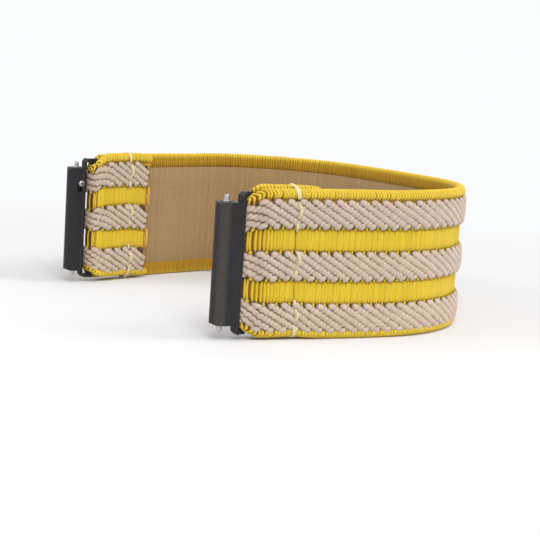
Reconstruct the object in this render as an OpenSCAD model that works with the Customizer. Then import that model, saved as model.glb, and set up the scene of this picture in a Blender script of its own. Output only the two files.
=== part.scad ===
// Elastic watch band: one length of ribbed woven elastic, looped at each end
// round the strap bar of a black metal connector. A quick-release spring bar in
// each connector's barrel goes between the lugs of a watch.
// +Z is the width of the band, which stands on its lower edge. X runs from the
// watch side to the far end of the loop. "near" is the half at -Y, "far" at +Y.
// Millimetres.

/* [Webbing] */
// Width of the elastic
band_width = 24; // [22:0.5:26]
// Width of each raised rib
rib_width = 4.65; // [3.5:0.05:5]
// Flat face of each rolled edge that shows beside the outer ribs
edge_width = 1.375; // [1.2:0.025:1.6]
// Thickness of the rolled edges
edge_thickness = 1.85; // [1.6:0.05:2.1]
// How deep the rolled edges reach into the band
edge_depth = 1.7; // [1.6:0.05:2]
// Thickness of the plain inner layer
backing_thickness = 0.3; // [0.2:0.05:0.5]
// Thickness of the layer of rubber threads
core_thickness = 0.5; // [0.3:0.05:0.7]
// Thickness of the face layer between the ribs
face_thickness = 0.5; // [0.3:0.05:0.7]
// How far the ribs stand above the face
rib_rise = 0.85; // [0.6:0.05:1.2]
// Rolled edge that shows on each side of the inner layer
backing_margin = 2; // [1.8:0.1:3]

/* [Loop] */
// Distance between the centres of the two spring bars
bar_span = 52.4; // [44:0.2:60]
// Angle at which each side leaves its strap bar, outwards from the X axis
flare_angle = 13.9; // [0:0.1:25]
// Length of each long side
side_length = 25.85; // [15:0.05:40]
// Angle through which each side bows
side_bow = 5.8; // [2:0.1:15]
// Radius of the two corners
corner_radius = 21; // [15:0.5:26]
// Angle through which each corner turns
corner_turn = 92.6; // [80:0.2:96]

/* [Fold and seam] */
// Thickness of the stretched elastic round the strap bar
fold_thickness = 0.95; // [0.7:0.05:1.3]
// Width of the elastic where it is drawn in round the strap bar
fold_width = 20.5; // [20:0.1:21.6]
// Length of the folded tail, from the strap bar to its cut end
tail_length = 12.5; // [11:0.5:20]
// Distance of the seam from the strap bar
seam_distance = 7.7; // [6:0.1:10]
// Thickness of the sewing thread
thread_d = 0.34; // [0.2:0.02:0.5]

/* [Connector] */
// Diameter of the barrel
barrel_d = 3.4; // [3:0.1:4]
// Length of the barrel, for lugs 20 mm apart
barrel_length = 19.2; // [18:0.1:19.6]
// Rounding of the two corners of the barrel away from the elastic
barrel_round = 0.65; // [0.3:0.05:0.65]
// Angle of the connectors to the X axis, outwards
connector_lean = 4; // [0:1:10]
// Centre of the strap bar, along the connector from the spring bar
strap_bar_reach = 3.85; // [3.7:0.05:4.4]
// Centre of the strap bar, outwards from the spring bar
strap_bar_rise = 0.1; // [0:0.05:0.3]
// Outer edge of the cover lip, along the connector from the spring bar
lip_reach = 2.7; // [2.5:0.05:2.9]
// Inner edge of the shoulders, along the connector from the spring bar
shoulder_start = 2.1; // [1.8:0.05:2.2]
// Depth of the shoulders, measured inwards from the outer face
shoulder_depth = 1.9; // [1.6:0.05:2.2]
// Corner cut of each shoulder
shoulder_chamfer = 0.5; // [0.2:0.1:0.7]
// Thickness of each arm beside the elastic
arm_thickness = 0.7; // [0.5:0.05:0.9]
// Broken edges of the cover lip
edge_break = 0.12; // [0.05:0.01:0.2]
// Radius of the eye that holds the strap bar
eye_radius = 0.65; // [0.6:0.01:0.7]
// Diameter of the strap bar
strap_bar_d = 1; // [0.8:0.05:1.1]

/* [Spring bar] */
// Outer diameter of the sleeve
sleeve_d = 1.8; // [1.6:0.05:1.9]
// Wall of the sleeve
sleeve_wall = 0.15; // [0.1:0.01:0.2]
// How far each end of the sleeve lies inside the barrel
sleeve_recess = 0.1; // [0.05:0.05:0.8]
// Diameter of the tips that enter the lugs
tip_d = 0.8; // [0.7:0.02:0.86]
// Diameter of the collar at the foot of each tip
collar_d = 1.14; // [1.06:0.02:1.2]
// How far each collar stands out of the barrel
collar_reach = 0.2; // [0.1:0.05:0.3]
// How far each tip stands out of the barrel
tip_reach = 1.1; // [0.8:0.05:1.2]
// Travel of the sprung tip
release_travel = 1.2; // [1:0.05:1.4]
// Length of the fixed rod inside the sleeve
fixed_rod_length = 6.5; // [5:0.5:7]
// Length of the sliding rod inside the sleeve
sliding_rod_length = 6.7; // [5.5:0.1:7]
// Distance of the release knob from the end of the sleeve
knob_distance = 2.7; // [2.4:0.1:3.4]
// Diameter of the stem of the release knob
knob_stem_d = 0.7; // [0.5:0.05:0.8]
// Diameter of the head of the release knob
knob_d = 1.1; // [0.9:0.1:1.5]
// Turns of the spring
spring_turns = 8; // [6:1:9]
// Thickness of the spring wire
spring_wire_d = 0.18; // [0.14:0.01:0.2]

/* [Hidden] */
$fn = 48;

// Clearances
bar_clearance = 0.05;      // elastic round the strap bar
fold_clearance = 0.25;     // fold to the connector
bore_clearance = 0.1;      // sleeve in the barrel
slide_clearance = 0.05;    // rod in the sleeve
press_clearance = 0.01;    // pressed pins
layer_gap = 0.12;          // between the two layers of the fold
slot_clearance = 0.1;      // release knob in its slot
end_clearance = 0.05;      // sliding rod to the rolled mouth of the sleeve
cut = 0.5;                 // how far a cutting tool runs past a face

// Colours
yellow = [0.95, 0.77, 0.13];
beige = [0.80, 0.69, 0.60];
tan_back = [0.72, 0.60, 0.50];
rubber = [0.90, 0.88, 0.80];
thread_colour = [0.88, 0.85, 0.50];
black_metal = [0.10, 0.10, 0.11];
steel = [0.75, 0.75, 0.77];

// Webbing section: n is the height above the inner face, z the place across the width
mid_z = band_width / 2;
core_top = backing_thickness + core_thickness;
face_top = core_top + face_thickness;
rib_top = face_top + rib_rise;
backing_half = mid_z - backing_margin;
outer_rib_edge = mid_z - edge_width;
rib_half = rib_width / 2;
rib_spacing = outer_rib_edge - rib_half;
inner_rib_edge = rib_spacing - rib_half;
roll_n = edge_thickness / 2;
roll_z = edge_depth / 2;
roll_centre = mid_z - roll_z;
rib_shoulder = roll_n + roll_n * sqrt(1 - pow((roll_centre - outer_rib_edge) / roll_z, 2));
rib_crest_share = 0.75;
rib_crown = 0.1;
rib_crest_half = rib_crest_share * rib_half;
rib_crest = rib_top - rib_crown;
diagonal = sqrt(1 / 2);

// Loop plan, measured from the near spring bar and its X position
function along(h) = [cos(h), sin(h)];
function outward(h) = [sin(h), -cos(h)];
function arc_to(p, r, a, b) = p + r * [sin(b) - sin(a), cos(a) - cos(b)];
strap_bar_at = [0, -bar_span / 2]
    + strap_bar_reach * along(-connector_lean) + strap_bar_rise * outward(-connector_lean);
side_radius = side_length / (side_bow * PI / 180);
corner_length = corner_radius * corner_turn * PI / 180;
corner_heading = side_bow - flare_angle;
back_heading = corner_heading + corner_turn;
corner_at = arc_to(strap_bar_at, side_radius, -flare_angle, corner_heading);
back_at = arc_to(corner_at, corner_radius, corner_heading, back_heading);
back_radius = -back_at[1] / cos(back_heading);
back_length = back_radius * (90 - back_heading) * PI / 180;
half_length = side_length + corner_length + back_length;
loop_end = arc_to(back_at, back_radius, back_heading, 90)[0];
origin_x = (loop_end + layer_gap / 2 + rib_top - barrel_d / 2) / 2;

// Heading and place of the seam line between the two layers, s mm from the near strap bar
function half_heading(s) = s < side_length ? -flare_angle + side_bow * s / side_length
    : s < side_length + corner_length
        ? corner_heading + corner_turn * (s - side_length) / corner_length
        : back_heading + (90 - back_heading) * (s - side_length - corner_length) / back_length;
function half_place(s) = s < side_length
    ? arc_to(strap_bar_at, side_radius, -flare_angle, half_heading(s))
    : s < side_length + corner_length
        ? arc_to(corner_at, corner_radius, corner_heading, half_heading(s))
        : arc_to(back_at, back_radius, back_heading, half_heading(s));
function heading(s) = s <= half_length ? half_heading(s) : 180 - half_heading(2 * half_length - s);
function place(s) = s <= half_length ? half_place(s)
    : [half_place(2 * half_length - s)[0], -half_place(2 * half_length - s)[1]];

// How the elastic swells from the strap bar outwards, w mm from the bar
join_length = 5;
swell_length = 3.5;
spread_start = eye_radius + fold_clearance;
spread_length = 2.2;
fold_radius = strap_bar_d / 2 + bar_clearance;
function smooth(x) = let (t = min(1, max(0, x))) t * t * (3 - 2 * t);
function blend(a, b, x) = a + (b - a) * smooth(x);
function from_bar(s) = min(s, 2 * half_length - s);
function thickness_at(w) = blend(fold_thickness / rib_top, 1, w / swell_length);
function width_at(w) = blend(fold_width / band_width, 1, (w - spread_start) / spread_length);
function gap_at(w) = blend(fold_radius, layer_gap / 2, w / join_length);

// A frame is [place of the inner face, heading, thickness scale, width scale]
function layer(s, side) = let (h = heading(s), w = from_bar(s))
    [place(s) + side * gap_at(w) * outward(h), side > 0 ? h : h + 180, thickness_at(w), width_at(w)];
function turn(s, angle) = let (h = heading(s) + angle)
    [place(s) + fold_radius * outward(h), h, thickness_at(0), width_at(0)];
tail_stations = [tail_length, seam_distance, for (i = [5:-1:1]) i * join_length / 5];
fold_steps = 8;
corner_steps = 16;
half_stations = [
    for (i = [0:4]) i * join_length / 5,
    for (i = [0:3]) join_length + (side_length - join_length) * i / 3,
    for (i = [1:corner_steps]) side_length + corner_length * i / corner_steps,
    side_length + corner_length + back_length / 2];
loop_stations = [for (s = half_stations) s, half_length,
    for (i = [len(half_stations) - 1:-1:0]) 2 * half_length - half_stations[i]];
webbing_frames = [
    for (w = tail_stations) layer(w, -1),
    for (i = [0:fold_steps - 1]) turn(0, 180 + 180 * i / fold_steps),
    for (s = loop_stations) layer(s, 1),
    for (i = [1:fold_steps]) turn(2 * half_length, 180 * i / fold_steps),
    for (i = [len(tail_stations) - 1:-1:0]) layer(2 * half_length - tail_stations[i], -1)];
cut_length = 2 * (half_length + tail_length) + 2 * PI * fold_radius;
echo(str("Elastic cut to ", round(cut_length * 10) / 10, " mm by ", band_width, " mm"));

// Point [n, z] of a webbing section in a frame
function in_frame(f, q) = let (p = f[0] + q[0] * f[2] * outward(f[1]))
    [p[0] - origin_x, p[1], mid_z + q[1] * f[3]];
function before(a, b) = a[1] < b[1] || (a[1] == b[1] && a[0] < b[0]);

// Closed section carried along the whole webbing. Each pair of neighbouring
// sections is split along the same diagonal, so layers meet face to face.
module woven(section) {
    m = len(section);
    last = len(webbing_frames) - 1;
    points = [for (f = webbing_frames) for (q = section) in_frame(f, q)];
    sides = [for (i = [0:last - 1]) for (j = [0:m - 1])
        let (k = (j + 1) % m, a = i * m + j, b = i * m + k, c = a + m, d = b + m)
        each before(section[j], section[k]) ? [[a, d, b], [a, c, d]] : [[a, c, b], [b, c, d]]];
    ends = [[for (j = [0:m - 1]) j], [for (j = [m - 1:-1:0]) last * m + j]];
    polyhedron(points, concat(sides, ends));
}

// Half of the ground's outline at +z, from the inner face round the rolled edge to the ribs
ground_half = [
    [core_top, backing_half], [0, backing_half], [0, roll_centre],
    [roll_n * (1 - diagonal), roll_centre + roll_z * diagonal], [roll_n, mid_z],
    [roll_n * (1 + diagonal), roll_centre + roll_z * diagonal], [edge_thickness, roll_centre],
    [rib_shoulder, outer_rib_edge], [face_top, outer_rib_edge],
    [face_top, inner_rib_edge], [face_top, rib_half]];
function mirrored(outline) = [for (i = [len(outline) - 1:-1:0]) [outline[i][0], -outline[i][1]]];

module webbing_ground() {
    color(yellow) woven(concat(ground_half, mirrored(ground_half)));
}

module rib(centre) {
    half = [[rib_shoulder, rib_half], [rib_crest, rib_crest_half], [rib_top, 0]];
    outline = [[face_top, rib_half], each half, [rib_crest, -rib_crest_half],
        [rib_shoulder, -rib_half], [face_top, -rib_half]];
    woven([for (q = outline) [q[0], q[1] + centre]]);
}
module rib_upper() { color(beige) rib(rib_spacing); }
module rib_middle() { color(beige) rib(0); }
module rib_lower() { color(beige) rib(-rib_spacing); }

module elastic_core() {
    color(rubber) woven([[core_top, backing_half], [core_top, -backing_half],
        [backing_thickness, -backing_half], [backing_thickness, backing_half]]);
}
module backing() {
    color(tan_back) woven([[backing_thickness, backing_half], [backing_thickness, -backing_half],
        [0, -backing_half], [0, backing_half]]);
}

// Seam: [n, z] of the thread down the outer layer, n above its inner face
thread_r = thread_d / 2;
stitch_crest = rib_top + thread_r / 2;
stitch_dip = rib_top - thread_d;
function rib_stitches(c) = [
    [rib_shoulder, c + rib_half], [stitch_crest, c + rib_half / 2], [stitch_dip, c],
    [stitch_crest, c - rib_half / 2], [rib_shoulder, c - rib_half]];
edge_stitch = [[roll_n, mid_z - thread_r], [edge_thickness, roll_centre]];
band_stitch = [face_top, rib_spacing / 2];
seam_outer = concat(edge_stitch, rib_stitches(rib_spacing), [band_stitch], rib_stitches(0),
    mirrored([band_stitch]), rib_stitches(-rib_spacing), mirrored(edge_stitch));
seam_ring = [for (q = seam_outer) [layer_gap / 2 + q[0], q[1]],
    for (q = mirrored(seam_outer)) [-layer_gap / 2 - q[0], -q[1]]];
thread_sides = 5;

// One row of stitches round both layers, s mm from the near strap bar
module seam(s) {
    m = len(seam_ring);
    h = heading(s);
    points = [for (i = [0:m - 1])
        let (q = seam_ring[i], d = seam_ring[(i + 1) % m] - seam_ring[(i + m - 1) % m],
            side = [-d[1], d[0]] / norm(d))
        for (k = [0:thread_sides - 1])
            let (a = 360 * k / thread_sides, e = q + thread_r * cos(a) * side,
                p = place(s) + e[0] * outward(h) + thread_r * sin(a) * along(h))
            [p[0] - origin_x, p[1], mid_z + e[1]]];
    polyhedron(points, [for (i = [0:m - 1]) for (k = [0:thread_sides - 1])
        let (a = i * thread_sides + k, b = i * thread_sides + (k + 1) % thread_sides,
            c = (a + thread_sides) % (m * thread_sides), d = (b + thread_sides) % (m * thread_sides))
        each [[a, b, c], [b, d, c]]]);
}
module stitching_near() { color(thread_colour) seam(seam_distance); }
module stitching_far() { color(thread_colour) seam(2 * half_length - seam_distance); }

// Connector frame: the spring bar is the Z axis, X runs to the strap bar, +Y is the wrist side
barrel_r = barrel_d / 2;
pocket_half = fold_width / 2 + fold_clearance;
pocket_radius = fold_radius + fold_thickness + fold_clearance;
head_half = pocket_half + arm_thickness;
eye_end = strap_bar_reach + eye_radius;
bore_d = sleeve_d + 2 * bore_clearance;
barrel_end = mid_z + barrel_length / 2;
sleeve_length = barrel_length - 2 * sleeve_recess;
sleeve_end = mid_z + sleeve_length / 2;
sleeve_start = mid_z - sleeve_length / 2;
knob_z = sleeve_end - knob_distance;
slot_width = knob_stem_d + 2 * slot_clearance;
slot_length = release_travel + slot_width;

module near_side() {
    translate([-origin_x, -bar_span / 2, 0]) rotate(-connector_lean) children();
}
module far_side() {
    mirror([0, 1, 0]) near_side() children();
}
module at_strap_bar() {
    translate([strap_bar_reach, -strap_bar_rise]) children();
}

// Slot for the release knob, from the middle of the spring bar to beyond the barrel
module knob_slot() {
    translate([-slot_width / 2, 0, knob_z + slot_width / 2 - slot_length])
        cube([slot_width, barrel_r + cut, slot_length]);
}
module connector_plan() {
    circle(r = barrel_r);
    polygon([[0, -barrel_r], [lip_reach - edge_break, -barrel_r], [lip_reach, -barrel_r + edge_break],
        [lip_reach, shoulder_depth - barrel_r], [0, shoulder_depth - barrel_r]]);
    at_strap_bar() circle(r = eye_radius);
    translate([shoulder_start, -strap_bar_rise - eye_radius])
        square([strap_bar_reach - shoulder_start, shoulder_depth - barrel_r + strap_bar_rise + eye_radius]);
}
module connector_front() {
    translate([barrel_round - barrel_r, -barrel_length / 2])
        square([barrel_r - barrel_round + lip_reach, barrel_length]);
    translate([-barrel_r, barrel_round - barrel_length / 2])
        square([barrel_r, barrel_length - 2 * barrel_round]);
    for (side = [-1, 1])
        translate([barrel_round - barrel_r, side * (barrel_length / 2 - barrel_round)]) circle(r = barrel_round);
    polygon([
        [shoulder_start, -head_half + shoulder_chamfer], [shoulder_start + shoulder_chamfer, -head_half],
        [eye_end, -head_half], [eye_end, head_half],
        [shoulder_start + shoulder_chamfer, head_half], [shoulder_start, head_half - shoulder_chamfer]]);
}
module fold_pocket() {
    translate([0, 0, mid_z - pocket_half]) linear_extrude(2 * pocket_half) {
        at_strap_bar() circle(r = pocket_radius);
        translate([lip_reach, -barrel_d]) square([eye_end, 2 * barrel_d]);
    }
}
module connector() {
    difference() {
        intersection() {
            linear_extrude(band_width) connector_plan();
            translate([0, 0, mid_z]) rotate([90, 0, 0])
                linear_extrude(2 * barrel_d, center = true) connector_front();
        }
        fold_pocket();
        cylinder(d = bore_d, h = band_width);
        at_strap_bar() cylinder(d = strap_bar_d + 2 * press_clearance, h = band_width);
        knob_slot();
    }
}
module connector_near() { color(black_metal) near_side() connector(); }
module connector_far() { color(black_metal) far_side() connector(); }

// Pin pressed through both eyes, flush with the arms
module strap_bar() {
    at_strap_bar() translate([0, 0, mid_z - head_half]) cylinder(d = strap_bar_d, h = 2 * head_half);
}
module strap_bar_near() { color(steel) near_side() strap_bar(); }
module strap_bar_far() { color(steel) far_side() strap_bar(); }

// Sleeve of the spring bar, rolled in at both mouths, with the slot of the knob
sleeve_bore_d = sleeve_d - 2 * sleeve_wall;
mouth_length = 0.25;
mouth_d = collar_d + 2 * slide_clearance;
module spring_bar_sleeve() {
    difference() {
        translate([0, 0, sleeve_start]) cylinder(d = sleeve_d, h = sleeve_length);
        translate([0, 0, sleeve_start + mouth_length])
            cylinder(d = sleeve_bore_d, h = sleeve_length - 2 * mouth_length);
        cylinder(d = mouth_d, h = band_width);
        knob_slot();
    }
}
module spring_bar_sleeve_near() { color(steel) near_side() spring_bar_sleeve(); }
module spring_bar_sleeve_far() { color(steel) far_side() spring_bar_sleeve(); }

// Round bar from z = 0 with a sloping edge round its far end, over a core that runs into both
module edged_bar(d, length, edge) {
    cylinder(d = d - 2 * edge, h = length - edge / 2);
    cylinder(d = d, h = length - edge);
    translate([0, 0, length - edge]) cylinder(d1 = d, d2 = d - 2 * edge, h = edge);
}

// Rod with a tip: the rod lies below z = 0, and the collar and tip start inside it and stand above
tip_cone = 0.15;
tip_root = 1;
module rod_and_tip(rod_d, rod_length, tip_length) {
    collar_length = tip_length - tip_reach + collar_reach;
    translate([0, 0, -rod_length]) cylinder(d = rod_d, h = rod_length);
    translate([0, 0, -tip_root]) {
        cylinder(d = collar_d, h = tip_root + collar_length);
        edged_bar(tip_d, tip_root + tip_length, tip_cone);
    }
}
tip_end = barrel_end + tip_reach;
fixed_shoulder = sleeve_start + mouth_length + press_clearance;
sliding_shoulder = sleeve_end - mouth_length - end_clearance;
fixed_rod_end = fixed_shoulder + fixed_rod_length;
sliding_rod_start = sliding_shoulder - sliding_rod_length;

module fixed_tip() {
    translate([0, 0, fixed_shoulder]) mirror([0, 0, 1])
        rod_and_tip(sleeve_bore_d - 2 * press_clearance, fixed_rod_length,
            fixed_shoulder - (band_width - tip_end));
}
module fixed_tip_near() { color(steel) near_side() fixed_tip(); }
module fixed_tip_far() { color(steel) far_side() fixed_tip(); }

// Sliding rod, with a cross hole for the stem of the release knob
sliding_rod_d = sleeve_bore_d - 2 * slide_clearance;
knob_socket_y = 0.2;
module plunger() {
    difference() {
        translate([0, 0, sliding_shoulder])
            rod_and_tip(sliding_rod_d, sliding_rod_length, tip_end - sliding_shoulder);
        translate([0, knob_socket_y, knob_z]) rotate([-90, 0, 0])
            cylinder(d = knob_stem_d + 2 * press_clearance, h = sleeve_d);
    }
}
module plunger_near() { color(steel) near_side() plunger(); }
module plunger_far() { color(steel) far_side() plunger(); }

// Knob that a fingernail slides along the barrel to draw the tip in
knob_gap = 0.15;
knob_height = 0.6;
knob_edge = 0.15;
module release_knob() {
    head_y = barrel_r + knob_gap;
    translate([0, knob_socket_y + press_clearance, knob_z]) rotate([-90, 0, 0])
        cylinder(d = knob_stem_d, h = head_y - knob_socket_y + knob_height / 2);
    translate([0, head_y, knob_z]) rotate([-90, 0, 0]) edged_bar(knob_d, knob_height, knob_edge);
}
module release_knob_near() { color(steel) near_side() release_knob(); }
module release_knob_far() { color(steel) far_side() release_knob(); }

// Compression spring between the two rods
spring_steps = 12;
spring_sides = 5;
spring_end_clearance = 0.02;
spring_r = sleeve_bore_d / 2 - slide_clearance - spring_wire_d / 2;
spring_start = fixed_rod_end + spring_wire_d / 2 + spring_end_clearance;
spring_rise = sliding_rod_start - fixed_rod_end - spring_wire_d - 2 * spring_end_clearance;
module spring() {
    last = spring_turns * spring_steps;
    points = [for (i = [0:last]) let (turn_angle = 360 * i / spring_steps)
        for (k = [0:spring_sides - 1])
            let (a = 360 * k / spring_sides, r = spring_r + spring_wire_d / 2 * cos(a))
            [r * cos(turn_angle), r * sin(turn_angle),
                spring_start + spring_rise * i / last + spring_wire_d / 2 * sin(a)]];
    sides = [for (i = [0:last - 1]) for (k = [0:spring_sides - 1])
        let (a = i * spring_sides + k, b = i * spring_sides + (k + 1) % spring_sides)
        each [[a, b, a + spring_sides], [b, b + spring_sides, a + spring_sides]]];
    ends = [[for (k = [spring_sides - 1:-1:0]) k], [for (k = [0:spring_sides - 1]) last * spring_sides + k]];
    polyhedron(points, concat(sides, ends));
}
echo(str("Gap between spring turns ", round((spring_rise / spring_turns - spring_wire_d) * 100) / 100, " mm"));
module spring_near() { color(steel) near_side() spring(); }
module spring_far() { color(steel) far_side() spring(); }

webbing_ground();
rib_upper();
rib_middle();
rib_lower();
elastic_core();
backing();
stitching_near();
stitching_far();
connector_near();
connector_far();
strap_bar_near();
strap_bar_far();
spring_bar_sleeve_near();
spring_bar_sleeve_far();
fixed_tip_near();
fixed_tip_far();
plunger_near();
plunger_far();
release_knob_near();
release_knob_far();
spring_near();
spring_far();
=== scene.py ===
"""Elastic watch band: ribbed woven elastic, folded and sewn round the bars of two black connectors."""

import bpy
import numpy as np
from mathutils import Matrix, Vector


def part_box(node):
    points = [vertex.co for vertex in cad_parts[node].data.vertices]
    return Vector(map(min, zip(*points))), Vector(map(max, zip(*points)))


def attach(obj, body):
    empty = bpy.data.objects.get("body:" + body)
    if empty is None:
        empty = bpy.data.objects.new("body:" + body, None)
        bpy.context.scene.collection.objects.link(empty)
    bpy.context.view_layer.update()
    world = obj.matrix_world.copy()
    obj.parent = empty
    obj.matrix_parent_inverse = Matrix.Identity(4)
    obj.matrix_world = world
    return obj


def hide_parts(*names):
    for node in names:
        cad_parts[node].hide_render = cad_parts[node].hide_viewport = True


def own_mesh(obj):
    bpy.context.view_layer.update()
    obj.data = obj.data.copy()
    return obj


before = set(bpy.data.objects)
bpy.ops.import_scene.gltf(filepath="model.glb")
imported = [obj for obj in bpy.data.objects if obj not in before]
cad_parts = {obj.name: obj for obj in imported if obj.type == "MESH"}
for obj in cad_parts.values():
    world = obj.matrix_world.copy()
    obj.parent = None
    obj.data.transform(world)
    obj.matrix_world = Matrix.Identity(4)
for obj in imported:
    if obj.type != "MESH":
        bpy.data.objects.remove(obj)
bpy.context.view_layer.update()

# Rubber threads
# The band stretches because a row of natural rubber threads lies inside the cloth, side by
# side along its whole length. They are laid in as the band is woven and cut off with it.

band_width = 24.0
mid_z = band_width / 2
rib_top = 2.15
layer_gap = 0.12
bar_span = 52.4
flare = np.radians(13.9)
side_length = 25.85
side_bow = np.radians(5.8)
corner_radius = 21.0
corner_turn = np.radians(92.6)
barrel_r = 1.7
lean = np.radians(4.0)
strap_bar_reach = 3.85
strap_bar_rise = 0.1
fold_radius = 0.55
fold_thickness = 0.95
tail_length = 12.5
tail_lift = 0.42
tail_drop = 0.2
seam_u = 7.82
seam_skew = 0.82


def along(heading):
    """Unit vector in the plan that runs along a heading."""
    return np.stack([np.cos(heading), np.sin(heading)], -1)


def outward(heading):
    """Unit vector in the plan, a quarter turn to the right of a heading."""
    return np.stack([np.sin(heading), -np.cos(heading)], -1)


def arc_to(start, radius, heading_from, heading_to):
    """End of an arc that starts at a point and turns left from one heading to another."""
    step_x = np.sin(heading_to) - np.sin(heading_from)
    step_y = np.cos(heading_from) - np.cos(heading_to)
    return start + radius * np.stack([step_x, step_y], -1)


def swell(start, end, share):
    """Smooth change from start to end as share goes from 0 to 1: three times share squared less
    twice share cubed."""
    t = np.clip(share, 0, 1)
    return start + (end - start) * t * t * (3 - 2 * t)


spring_bar = np.array([0, -bar_span / 2])
strap_bar = spring_bar + strap_bar_reach * along(-lean) + strap_bar_rise * outward(-lean)
side_radius = side_length / side_bow
corner_length = corner_radius * corner_turn
corner_heading = side_bow - flare
back_heading = corner_heading + corner_turn
corner = arc_to(strap_bar, side_radius, -flare, corner_heading)
back = arc_to(corner, corner_radius, corner_heading, back_heading)
back_radius = -back[1] / np.cos(back_heading)
back_length = back_radius * (np.pi / 2 - back_heading)
half_length = side_length + corner_length + back_length
loop_length = 2 * half_length
loop_end = arc_to(back, back_radius, back_heading, np.pi / 2)[0]
origin_x = (loop_end + layer_gap / 2 + rib_top - barrel_r) / 2
fold_length = np.pi * (fold_radius + fold_thickness)
first_u = -fold_length - tail_length
last_u = loop_length + fold_length + tail_length


def loop_line(s):
    """Heading and place of the line between the layers, s mm from the near strap bar: a bowed side,
    a corner and a flatter back, each an arc, and past the middle the same mirrored."""
    over = s > half_length
    m = np.where(over, loop_length - s, s)
    on_side = m < side_length
    on_corner = ~on_side & (m < side_length + corner_length)
    side_h = -flare + side_bow * m / side_length
    corner_h = corner_heading + corner_turn * (m - side_length) / corner_length
    back_h = back_heading + (np.pi / 2 - back_heading) * (m - side_length - corner_length) / back_length
    heading = np.where(on_side, side_h, np.where(on_corner, corner_h, back_h))
    place = np.where(
        on_side[..., None],
        arc_to(strap_bar, side_radius, -flare, heading),
        np.where(
            on_corner[..., None],
            arc_to(corner, corner_radius, corner_heading, heading),
            arc_to(back, back_radius, back_heading, heading),
        ),
    )
    place[..., 1] = np.where(over, -place[..., 1], place[..., 1])
    return np.where(over, np.pi - heading, heading), place


def seam_line(z):
    """Distance of the seam from the strap bar at a place across the width: a slightly slanting line."""
    return seam_u - seam_skew * z / band_width


# how the cloth gives way: each change of gap, thickness, width or height has an amount, as a share
# or in mm, and starts from a place and takes a reach, both in mm along the cloth
gap_reach = 5.0
thin_reach = 3.5
bar_narrowing = 0.079
bar_reach = 2.3
fold_narrowing = 0.15
fold_reach = 1.2
tail_from = 2.6
tail_reach = 4.6
cut_narrowing = 0.012
cut_reach = 2.2
beside_narrowing = 0.0204
beside_lift = 0.085
beside_from = 2.0
beside_reach = 16.0
seam_dent = 0.14
seam_dent_reach = 0.42
seam_narrowing = 0.0085
seam_lift = 0.1
seam_reach = 2.0
tail_lift_from = 3.2
tail_lift_reach = 4.4
tail_drop_from = 7.7
end_lift = 0.14
end_lift_from = 24.0
end_lift_reach = 8.0


def on_band(u, z, n):
    """Place in metres of a point of the cloth. u runs from one cut end to the other, with 0 and
    loop_length at the two strap bars: down a tail, half a turn round the bar, and along the loop.
    z is the place across the width from its middle, and n the height above the inner face. The
    cloth is thin and narrow in the fold, a little narrower beside it, and drawn in along the seam.
    The tail lies askew, and the round end of the loop stands a little higher. Near the seam each
    change fades as e to the minus square of the distance, and elsewhere it swells."""
    u, z, n = np.broadcast_arrays(u, z, n)
    near, far = u < 0, u > loop_length
    beyond = np.where(near, -u, np.where(far, u - loop_length, 0.0))
    turn = np.pi * np.clip(beyond / fold_length, 0, 1)
    tail = np.maximum(beyond - fold_length, 0)
    s = np.where(near, tail, np.where(far, loop_length - tail, u))
    heading, place = loop_line(s)
    from_bar = np.minimum(s, loop_length - s)
    gap = swell(fold_radius, layer_gap / 2, from_bar / gap_reach)
    thick = swell(fold_thickness / rib_top, 1.0, from_bar / thin_reach)
    from_seam = from_bar - seam_line(z)
    thick = thick * (1 - seam_dent * np.exp(-((from_seam / seam_dent_reach) ** 2)))
    beside = swell(1.0, 0.0, (from_bar - beside_from) / beside_reach)
    drawn_in = np.exp(-((from_seam / seam_reach) ** 2))
    narrow_loop = swell(bar_narrowing, 0.0, from_bar / bar_reach)
    narrow_fold = swell(bar_narrowing, fold_narrowing, beyond / fold_reach)
    narrow_tail = swell(fold_narrowing, 0.0, (beyond - tail_from) / tail_reach)
    narrow = np.where(beyond == 0, narrow_loop, np.where(beyond > tail_from, narrow_tail, narrow_fold))
    narrow = narrow + cut_narrowing * swell(0.0, 1.0, (tail - tail_length + cut_reach) / cut_reach)
    narrow = narrow + beside_narrowing * beside + seam_narrowing * drawn_in
    lift = tail_lift * swell(0.0, 1.0, (beyond - tail_lift_from) / tail_lift_reach)
    lift = lift + beside_lift * beside + seam_lift * drawn_in
    askew = (tail - tail_drop_from) / (tail_length - tail_drop_from)
    lift = lift - tail_drop * np.clip(askew, 0, 1)
    lift = lift + end_lift * swell(0.0, 1.0, (from_bar - end_lift_from) / end_lift_reach)
    out = outward(heading + np.where(near, -turn, turn))
    plan = place + (gap + n * thick)[..., None] * out
    return np.stack([plan[..., 0] - origin_x, plan[..., 1], mid_z + z * (1 - narrow) + lift], -1) / 1000


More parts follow.
